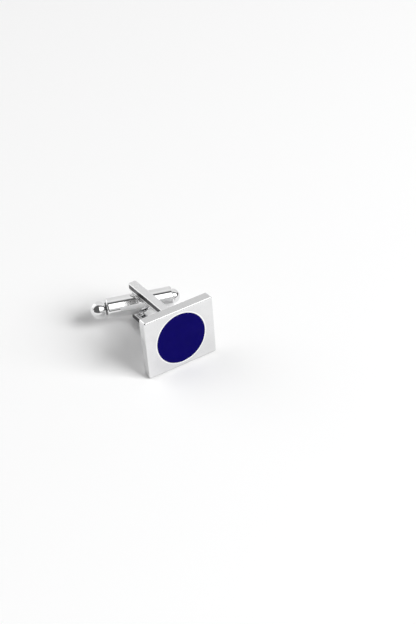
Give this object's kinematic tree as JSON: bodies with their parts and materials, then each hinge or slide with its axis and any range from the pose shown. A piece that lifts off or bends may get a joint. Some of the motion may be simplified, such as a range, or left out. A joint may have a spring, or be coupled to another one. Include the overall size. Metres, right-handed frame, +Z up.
{
  "type": "cufflink",
  "caption": "Rectangular polished cufflink with a round blue enamel inlay, a U-shaped arm behind the face and a bullet toggle that swivels to pass through a buttonhole.",
  "frame": {"origin": "middle of the face plate's back, where the U-shaped arm is brazed on", "axes": "+Z up as the cufflink stands on a table, leaning back on the end of its arm; +Y level, from the face towards the toggle; +X to the right as seen from the front"},
  "size_m": [0.0185, 0.0225, 0.0135],
  "materials": {
    "polished_plate": "mirror polished, rhodium plated",
    "enamel": "glossy dark blue enamel",
    "polished_arm": "polished, rhodium plated",
    "solder": "silver solder, satin",
    "spring_steel": "bright spring strip",
    "rivet": "polished, plated over",
    "bush": "turned, nickel plated",
    "polished_toggle": "mirror polished, rhodium plated"
  },
  "bodies": {
    "face_and_arm": {"face_plate": "polished_plate", "enamel_disc": "enamel", "u_arm": "polished_arm", "solder_fillet": "solder", "friction_clip": "spring_steel", "pivot_rivet": "rivet"},
    "toggle": {"toggle_barrel": "polished_toggle", "ball_finial": "polished_toggle", "nose_cap": "polished_toggle", "pivot_bush": "bush"}
  },
  "joints": [
    {"name": "toggle_swivel", "type": "hinge", "parent": "face_and_arm", "child": "toggle", "pos_m": [0, 0.01486, -0.00208], "axis": [0, 0.1266, 0.9919], "continuous": true}
  ]
}
